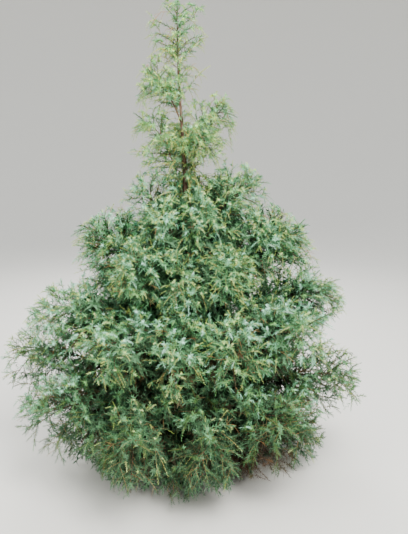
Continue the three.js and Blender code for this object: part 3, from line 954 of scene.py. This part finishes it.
def makeTrunk(finish):
    top, footTop = limbTable["trunkTop"], barkLooks["footTop"]
    heights = np.concatenate([np.arange(0, footTop, barkLooks["footRing"]),
                              np.arange(footTop, top - 5, barkLooks["trunkRing"]), [top]]) * mm
    centres = trunkCentre(heights)
    radii = trunkRadius(heights, 0)
    bpy.ops.mesh.primitive_circle_add(
        vertices=barkLooks["trunkSides"], radius=radii[0], location=centres[0])
    trunk = bpy.context.object
    trunk.name = "trunk_bark"
    bpy.ops.object.mode_set(mode="EDIT")
    for ring in range(1, len(heights)):
        step = centres[ring] - centres[ring - 1]
        bpy.ops.mesh.extrude_region_move(TRANSFORM_OT_translate={"value": tuple(step)})
        grow = radii[ring] / radii[ring - 1]
        bpy.ops.transform.resize(value=(grow, grow, 1), center_override=tuple(centres[ring]))
    bpy.ops.mesh.edge_face_add()
    bpy.ops.mesh.select_all(action="DESELECT")
    bpy.ops.mesh.select_non_manifold()
    bpy.ops.mesh.edge_face_add()
    closeMesh()
    bpy.ops.object.transform_apply(location=True, rotation=True, scale=True)
    addRelief(trunk, centres, barkLooks["trunkDepth"], barkLooks["trunkSeed"], flare=True)
    bpy.ops.object.shade_smooth()
    trunk.data.materials.append(finish.material)
    trunk.select_set(False)
    rideAs(trunk, "bark", "trunk")


def makeBough(limb):
    line = partOf(limbLines[limb], 0, limbSplit[limb])
    bpy.ops.curve.primitive_bezier_curve_add()
    bough = bpy.context.object
    curve = bough.data
    first, last = curve.splines[0].bezier_points
    ends = ((first, line[0], limbThick[limb]), (last, line[2], limbFoot[limb]))
    for point, place, radius in ends:
        point.handle_left_type = point.handle_right_type = "FREE"
        point.co = place
        point.handle_left = point.handle_right = mix(place, line[1], 2 / 3)
        point.radius = radius
    first.handle_left = 2 * line[0] - mix(line[0], line[1], 2 / 3)
    last.handle_right = 2 * line[2] - mix(line[2], line[1], 2 / 3)
    curve.bevel_depth = 1
    curve.bevel_resolution = barkLooks["boughRoundness"]
    curve.resolution_u = barkLooks["boughSteps"]
    curve.use_fill_caps = True
    bpy.ops.object.convert(target="MESH")
    bpy.ops.object.mode_set(mode="EDIT")
    bpy.ops.mesh.select_all(action="SELECT")
    bpy.ops.mesh.remove_doubles(threshold=1e-5)
    closeMesh()
    bpy.ops.object.transform_apply(location=True, rotation=True, scale=True)
    middle = curvePoint(line, np.linspace(0, 1, barkLooks["boughSteps"]))
    addRelief(bough, middle, barkLooks["boughDepth"], barkLooks["boughSeed"] * limb,
              barkLooks["collar"])
    bough.select_set(False)
    return bough


def makeBoughs(finish):
    boughs = [makeBough(limb) for limb in range(limbCount) if limbSplit[limb] > 0]
    for bough in boughs:
        bough.select_set(True)
    bpy.context.view_layer.objects.active = boughs[0]
    bpy.ops.object.join()
    joined = bpy.context.object
    joined.name = "boughs_bark"
    bpy.ops.object.shade_smooth()
    joined.data.materials.clear()
    joined.data.materials.append(finish.material)
    joined.select_set(False)
    rideAs(joined, "bark", *boughNodes)


def makeFlakes(finish):             # thin strips of bark that lift at one end
    rng = np.random.default_rng(31)
    count, rows = flakeLooks["count"], flakeLooks["rows"]
    start, length = (rng.uniform(*flakeLooks[key], count) for key in ("start", "length"))
    angle = rng.uniform(0, 2 * math.pi, count)
    wide, curl = (rng.uniform(*flakeLooks[key], count) for key in ("wide", "curl"))
    loose = rng.integers(0, 2, count)      # which end is free
    drift = rng.normal(0, flakeLooks["drift"], count)
    rings = []
    for t in np.linspace(0, 1, rows):
        height = start + length * t
        free = np.where(loose == 1, t, 1 - t)
        turn = angle + drift * t
        radial = np.stack([np.cos(turn), np.sin(turn), np.zeros(count)], axis=1)
        side = np.stack([-np.sin(turn), np.cos(turn), np.zeros(count)], axis=1)
        out = (trunkRadius(height, turn) + barkLooks["trunkDepth"] * flakeLooks["rise"]
               + curl * free ** 3 - flakeLooks["sink"] * (1 - free))
        half = wide / 2 * (1 - flakeLooks["taper"] * abs(2 * t - 1) ** 2.5)
        centre = trunkCentre(height) + radial * out[:, None]
        rings += [centre - side * half[:, None], centre + side * half[:, None]]
    faces = [[2 * row, 2 * row + 1, 2 * row + 3, 2 * row + 2] for row in range(rows - 1)]
    flat = np.stack(rings, axis=1).reshape(-1, 3)
    total = count * (rows - 1)
    piece = makeMesh("bark_flakes", flat, cornersOf(faces, rows * 2, count), np.full(total, 4),
                     np.zeros(total), [finish], smooth=True)
    setGrain(piece.data, (flat - trunkCentre(flat[:, 2]))[:, :2], flat[:, 2])
    bpy.context.view_layer.objects.active = piece
    shell = piece.modifiers.new("thickness", "SOLIDIFY")
    shell.thickness = flakeLooks["thick"]
    bpy.ops.object.modifier_apply(modifier="thickness")
    rideAs(piece, "bark", "trunk")


twigLooks = {
    # name of the material, colour and roughness
    "old_twigs": ("oldTwigs", fromScreen(112, 92, 74), 0.85),
    "young_twigs": ("youngTwigs", fromScreen(172, 134, 92), 0.7),
    "fine_twigs": ("greenTwigs", fromScreen(160, 170, 112), 0.65),
    "mainFoot": 0.012,              # for each metre of its length
    # radius at the end, sides and steps, and for the others the radius at the foot first
    "stem": (0.0012, 6, 12), "main": (0.0011, 4, 4),
    "old": (0.002, 0.0008, 3, 4), "oldFine": (0.001, 0.0005, 3, 1),
    "shoot": (0.0011, 0.0006, 3, 3), "dimShoot": (0.0011, 0.0006, 3, 2), "sprig": (0.0008, 0.0005, 3, 2),
    "deadMain": (0.0022, 0.0008, 5, 6), "dead": (0.0012, 0.0005, 4, 4), "died": (0.0011, 0.0005, 3, 3),
    "shootAbove": 0.4, "dimShootAbove": 0.03, "sprigAbove": 0.6,    # how open it is where they are made
}


def makeTwigs():
    def grown(twigs, size):
        return tubes(twigs.lines, *twigLooks[size])

    stems = [tubes(limbLines[at][None], limbFoot[at], *twigLooks["stem"], limbSplit[at])
             for at in range(limbCount)]
    live, bare = mains.pick(~isBare[mains.limb]), mains.pick(isBare[mains.limb])
    thickMains = tubes(live.lines, live.lengths * twigLooks["mainFoot"], *twigLooks["main"])
    lit = shoots.opened > twigLooks["shootAbove"]
    dim = ~lit & (shoots.opened > twigLooks["dimShootAbove"])
    green = (sprigs.opened > twigLooks["sprigAbove"]) & ~shedSprig
    parts = {
        "old_twigs": [stems[at] for at in leafyStem]
        + [thickMains, grown(old, "old"), grown(oldFine, "oldFine")],
        "young_twigs": [grown(shoots.pick(lit), "shoot"), grown(shoots.pick(dim), "dimShoot"),
                        grown(sprigs.pick(shedSprig), "sprig")],
        "fine_twigs": [grown(sprigs.pick(green), "sprig")],
    }
    for name, made in parts.items():
        rideAs(makeTubes(name, Finish(*twigLooks[name]), made), "bark", *foliageNodes)
    made = [stems[at] for at in np.flatnonzero(isBare)]
    made += [grown(bare, "deadMain"), grown(dead, "dead"), grown(died, "died")]
    finish = woodFinish("deadTwigs", barkLooks["deadStops"], None)
    rideAs(makeTubes("dead_twigs", finish, made), "dead_wood", "twigs_dead_1")


bpy.ops.object.select_all(action="DESELECT")
barkFinish = woodFinish("bark", barkLooks["stops"], "grain")
makeTrunk(barkFinish)
makeBoughs(barkFinish)
makeFlakes(barkFinish)
print("trunk and boughs made")
makeTwigs()
print("twigs made")


# Needles stand in whorls of three. Each is two faces that meet at its tip, a pale upper one and a
# green back
needleSizes = {                     # length, width, metres between whorls, spread, change to the tip
    "outer": (0.0158, 0.0024, 0.0067, 62, 1),
    "strand": (0.0112, 0.002, 0.0066, 56, 0.7),
    "middle": (0.0192, 0.0036, 0.009, 60, 0.8),
    "shaded": (0.026, 0.0054, 0.0125, 60, 0.8),
    "inner": (0.038, 0.0098, 0.021, 56, 0.5),
    "core": (0.052, 0.02, 0.021, 62, 0.5),
}
needleRule = {
    "tipFrom": 0.45, "tipSpread": 34, "tipLength": 0.62, "tipWidth": 0.72, "spreadVaries": 13,
    "lengthVaries": (0.72, 1.15), "thick": 0.0005,
    "whorlAt": 0.6, "shareVaries": (-0.01, 0.01), "turnEach": 2.4, "turnVaries": 0.2,
    "outerAbove": 0.42, "middleAbove": 0.26, "shadedAbove": 0.12, "noneBelow": 0.012,
    "shootFrom": 0.12, "sprigFrom": 0.05,
    "lowest": 0.003, "beyond": 0.05,
    "rimFrom": 0.58,                # metres from the trunk, no broad needles further out than this
    "deadShare": 0.5,               # of the dead twigs that still hold needles
    "paleShare": 0.68,              # of the thin strands, the others are one step darker than their spray, as painted shade
    "paleInSpire": 0.12,            # more of them there
    "limeShare": 0.4,               # of the pale ones in the crown, in the spire it is twice that
    "mossTo": 1.2, "mossFades": 2.4,  # share of darker, yellower sprays at the ground, painted shade there, and how it falls
    "strandFrom": 0.42,             # young ends of shoots are thin pale strands from here on
    "footShare": 0.5,               # of an outer shoot has the middle size and is one step darker, painted shade
    "twigTint": 0.85, "limbTint": 0.45, "shootTint": 0.35,   # how much the tint of each varies
    "mostEach": 99500,              # needles in one mesh
    "roughness": (0.6, 0.5),
}
# How pale and how young a spray is, from how open it is there, its tint and its height
# the paleness is painted light and shade: paler where the crown is open and high up, darker deep inside
# and near the ground; the tint is each spray's own tone
paintedLightScore = {
    "tint": 0.26, "height": 0.85, "middle": 0.44, "low": 0.85, "lowBelow": 0.42, "varies": 0.05,
}
youngScore = {
    "tint": -0.24, "height": 0.8, "middle": 0.5, "low": 0.65, "lowBelow": 0.4, "varies": 0.12,
    "from": 0.8,
}
# kinds by score: the lowest is painted shade, the palest carry painted light as well as their own bloom
kindLevels = (
    (0.3, "mid"), (0.62, "fresh"), (0.8, "blue_green"), (0.97, "glaucous"), (1.13, "silver"))
bearingNeedles = {                  # on the side twigs themselves
    "varies": 0.1, "midAbove": 0.4, "brownUpTo": 0.05, "brownBelow": 0.8, "clearAbove": 0.2,
    "from": 0.12, "outerFrom": 0.55,
}
oldNeedles = {"from": 0.1, "brownShare": 0.5, "brownBelow": 0.7, "midShare": 0.3, "rustShare": 0.3}
needleKinds = {                     # upper face and back of each kind of spray
    # the palest spray: its own glaucous bloom, made paler still as painted light where the crown is open
    # and high
    "silver": ((208, 246, 228), (160, 212, 186)),
    "glaucous": ((178, 226, 200), (124, 180, 150)),
    "blue_green": ((152, 208, 170), (103, 161, 123)),
    "fresh": ((154, 202, 136), (107, 162, 102)),
    "mid": ((123, 173, 126), (88, 137, 96)),
    # painted shade near the ground: darker and yellower than mid and fresh
    "moss": ((92, 128, 76), (64, 96, 54)),
    # painted shade: the darker green for sprays deep inside the crown
    "deep": ((101, 137, 102), (72, 104, 77)),
    "tip": ((216, 231, 166), (192, 209, 134)),
    "lime": ((200, 216, 132), (168, 188, 102)),
    "brown": ((96, 90, 64), (72, 68, 50)),
    "rust": ((116, 90, 62), (90, 72, 52)),
}
kindAt = {name: index for index, name in enumerate(needleKinds)}
# painted shade: one step darker, for the feet of outer shoots and for strands that are not pale
paintedShadeSteps = {"silver": "blue_green", "glaucous": "fresh", "blue_green": "mid", "fresh": "mid"}
spireShades = {"silver": "glaucous", "glaucous": "blue_green", "fresh": "mid"}
paintedShadeKinds, spireKinds = (np.array([kindAt[shades.get(name, name)] for name in needleKinds])
                          for shades in (paintedShadeSteps, spireShades))


def needlesOn(rng, twigs, kinds, size, low, high):
    fullLength, fullWidth, apart, fullSpread, taper = needleSizes[size]
    count = np.maximum(2, np.round(twigs.lengths * (high - low) / apart).astype(int))
    line, place = numbered(count)
    share = mix(low, high, (place + needleRule["whorlAt"]) / count[line])
    line, place, share = (np.repeat(part, 3) for part in (line, place, share))
    total = len(line)
    share = np.minimum(share + rng.uniform(*needleRule["shareVaries"], total), 1)
    centre, ahead = curvePoint(twigs.lines[line], share), curveAhead(twigs.lines[line], share)
    across, over = squareTo(ahead)
    third = np.tile([0, 1, 2], total // 3)
    angle = line * needleRule["turnEach"] + place * math.pi / 3 + third * 2 * math.pi / 3
    angle += rng.normal(0, needleRule["turnVaries"], total)
    radial = across * np.cos(angle)[:, None] + over * np.sin(angle)[:, None]
    toTip = taper * np.clip((share - needleRule["tipFrom"]) / (1 - needleRule["tipFrom"]), 0, 1)
    spread = np.radians(mix(fullSpread, needleRule["tipSpread"], toTip)
                        + rng.normal(0, needleRule["spreadVaries"], total))[:, None]
    heading = unit(ahead * np.cos(spread) + radial * np.sin(spread))
    length = fullLength * mix(1, needleRule["tipLength"], toTip) * rng.uniform(
        *needleRule["lengthVaries"], total)
    upper = unit(ahead - (ahead * heading).sum(-1, keepdims=True) * heading)
    return {"line": line, "centre": centre, "heading": heading, "upper": upper, "length": length,
            "width": fullWidth * mix(1, needleRule["tipWidth"], toTip), "kind": kinds[line]}


def needleMesh(name, needles, finishes):
    base, heading, upper = needles["centre"], needles["heading"], needles["upper"]
    side = np.cross(heading, upper) * (needles["width"] / 2)[:, None]
    under = upper * needleRule["thick"]
    tip = base + heading * needles["length"][:, None]
    points = np.stack([base - side, base + side, base - side - under, base + side - under, tip], axis=1)
    count = len(base)
    return makeMesh(name, points.reshape(-1, 3), cornersOf([[0, 1, 4], [3, 2, 4]], 5, count),
                    np.full(count * 2, 3), np.tile([0, 1], count), finishes)


def nearRim(twigs):
    middle = twigs.at(0.5)
    return np.hypot(middle[:, 0], middle[:, 1]) > needleRule["rimFrom"]


def scored(rng, rule, opened, tint, height):
    # the low term lowers the score near the ground; for the colour this is painted shade
    low = np.clip(1 - height / rule["lowBelow"], 0, 1)
    score = opened + rule["tint"] * tint + rule["height"] * (height - rule["middle"])
    return score - rule["low"] * low + rng.normal(0, rule["varies"], len(opened))


def dealKinds(rng, opened, tint, height):
    # painted light and shade: sprays deep inside and low down take darker kinds, open ones high up the
    # palest
    score = scored(rng, paintedLightScore, opened, tint, height)
    kinds = np.full(len(opened), kindAt["deep"])
    for least, name in kindLevels:
        kinds[score > least] = kindAt[name]
    # painted shade near the ground: some mid and fresh sprays there take the darker, yellower kind
    low = rng.random(len(opened)) < needleRule["mossTo"] - height * needleRule["mossFades"]
    kinds[low & np.isin(kinds, [kindAt["mid"], kindAt["fresh"]])] = kindAt["moss"]
    return kinds


def needlesOnShoots(rng):
    twigTint = needleRule["twigTint"] * rng.normal(0, 1, len(bearing))
    twigTint += rng.normal(0, needleRule["limbTint"], limbCount)[bearing.limb]
    shootTint = twigTint[shoots.parent] + rng.normal(0, needleRule["shootTint"], len(shoots))
    foot, strandFrom = needleRule["footShare"], needleRule["strandFrom"]
    sets = []
    for twigs, shed, tint, start in (
            (shoots, shedShoot, shootTint, needleRule["shootFrom"]),
            (sprigs, shedSprig, shootTint[sprigs.parent], needleRule["sprigFrom"])):
        opened, height = np.where(shed, -1, twigs.opened), twigs.lines[:, 0, 2] / crownHeight
        slim, rim = isSlim[twigs.limb], nearRim(twigs)
        kinds = dealKinds(rng, opened, tint, height)
        kinds[slim] = spireKinds[kinds[slim]]
        young = scored(rng, youngScore, opened, tint, height) > youngScore["from"]
        pale = rng.random(len(twigs)) < needleRule["paleShare"] + needleRule["paleInSpire"] * slim
        lime = pale & (rng.random(len(twigs)) < needleRule["limeShare"] * (1 + slim))
        strandKinds = np.where(lime, kindAt["lime"], np.where(pale, kindAt["tip"], paintedShadeKinds[kinds]))
        outer = opened > needleRule["outerAbove"]
        middle = (opened > needleRule["middleAbove"]) & ~outer
        shaded = (opened > needleRule["shadedAbove"]) | (rim & (opened >= needleRule["noneBelow"]))
        inner = (opened >= needleRule["noneBelow"]) & (opened <= needleRule["shadedAbove"]) & ~rim
        # the feet of outer shoots and the strands that are not pale take the kind one step darker,
        # painted shade
        plans = [("outer", outer & ~young, kinds, foot, 1),
                 ("strand", outer & young, strandKinds, strandFrom, 1),
                 ("middle", outer & ~young, paintedShadeKinds[kinds], start, foot),
                 ("middle", outer & young, paintedShadeKinds[kinds], start, strandFrom),
                 ("middle", middle, kinds, start, 1),
                 ("shaded", shaded & ~outer & ~middle, kinds, start, 1)]
        if twigs is shoots:
            plans.append(("inner", inner, kinds, start, 1))
        sets += [needlesOn(rng, twigs.pick(chosen), kinds[chosen], size, low, high)
                 for size, chosen, kinds, low, high in plans]
    return sets


def needlesOnBearing(rng):
    rule = bearingNeedles
    score = bearing.opened + rng.normal(0, rule["varies"], len(bearing))
    # darker green where the crown is closed is painted shade; brown low down inside is dead needles
    kinds = np.where(score > rule["midAbove"], kindAt["mid"], kindAt["deep"])
    isLow = bearing.lines[:, 1, 2] < rule["brownBelow"]
    kinds[(score < rule["brownUpTo"]) & isLow] = kindAt["brown"]
    clear = (bearing.opened > rule["clearAbove"]) | nearRim(bearing)
    start, outerFrom = rule["from"], rule["outerFrom"]
    return [needlesOn(rng, bearing.pick(chosen), kinds[chosen], size, low, high)
            for size, chosen, low, high in (
                ("inner", ~clear, start, 1), ("shaded", clear, start, outerFrom),
                ("middle", clear, outerFrom, 1))]


def needlesOnOld(rng):
    rule, sets, plans = oldNeedles, [], []
    for twigs in (old, oldFine):
        lit = (twigs.opened > needleRule["middleAbove"]) | nearRim(twigs)
        plans += [(twigs.pick(lit), "shaded"), (twigs.pick(~lit), "core")]
    for twigs, size in plans + [(dead, "middle"), (died, "middle")]:
        found = needlesOn(rng, twigs, np.zeros(len(twigs), int), size, rule["from"], 1)
        drawn = rng.random(len(twigs))
        # painted shade: needles on old twigs inside the crown are mostly the darker green; the brown
        # ones are dead
        if size == "core":
            brown = (drawn < rule["brownShare"]) & (twigs.lines[:, 1, 2] < rule["brownBelow"])
            kinds = np.where(brown, kindAt["brown"], kindAt["deep"])
        elif size == "shaded":
            kinds = np.where(drawn < rule["midShare"], kindAt["mid"], kindAt["deep"])
        else:                       # most dead twigs have shed theirs
            kinds = np.where(drawn < rule["rustShare"], kindAt["rust"], kindAt["brown"])
            held = drawn[found["line"]] < needleRule["deadShare"]
            found = {key: value[held] for key, value in found.items()}
        found["kind"] = kinds[found["line"]]
        sets.append(found)
    return sets


def growNeedles():
    rng = np.random.default_rng(21)
    sets = needlesOnShoots(rng) + needlesOnBearing(rng) + needlesOnOld(rng)
    joined = {key: np.concatenate([found[key] for found in sets]) for key in sets[0]}
    tips = joined["centre"] + joined["heading"] * joined["length"][:, None]
    low, high = np.array(cadBox[0]) - needleRule["beyond"], np.array(cadBox[1]) + needleRule["beyond"]
    inside = ((tips > low) & (tips < high)).all(1) & (tips[:, 2] > needleRule["lowest"])
    joined = {key: value[inside] for key, value in joined.items()}
    for name, colours in needleKinds.items():
        finishes = [Finish(name + face, fromScreen(*colour), roughness)
                    for face, colour, roughness in zip(
                        ("Upper", "Back"), colours, needleRule["roughness"])]
        picked = np.flatnonzero(joined["kind"] == kindAt[name])
        parts = math.ceil(len(picked) / needleRule["mostEach"])
        for part in range(parts):
            own = picked[part::parts]
            piece = needleMesh(f"needles_{name}" + (f"_{part + 1}" if parts > 1 else ""),
                               {key: value[own] for key, value in joined.items()}, finishes)
            rideAs(piece, "needles", *foliageNodes)
            print(piece.name, len(own), "needles")


growNeedles()

faceTotal = 0
for piece in bpy.data.objects:
    if piece.type == "MESH" and piece.name != "studio_floor":
        piece.data.calc_loop_triangles()
        faceTotal += len(piece.data.loop_triangles)
print("triangles in all:", faceTotal)
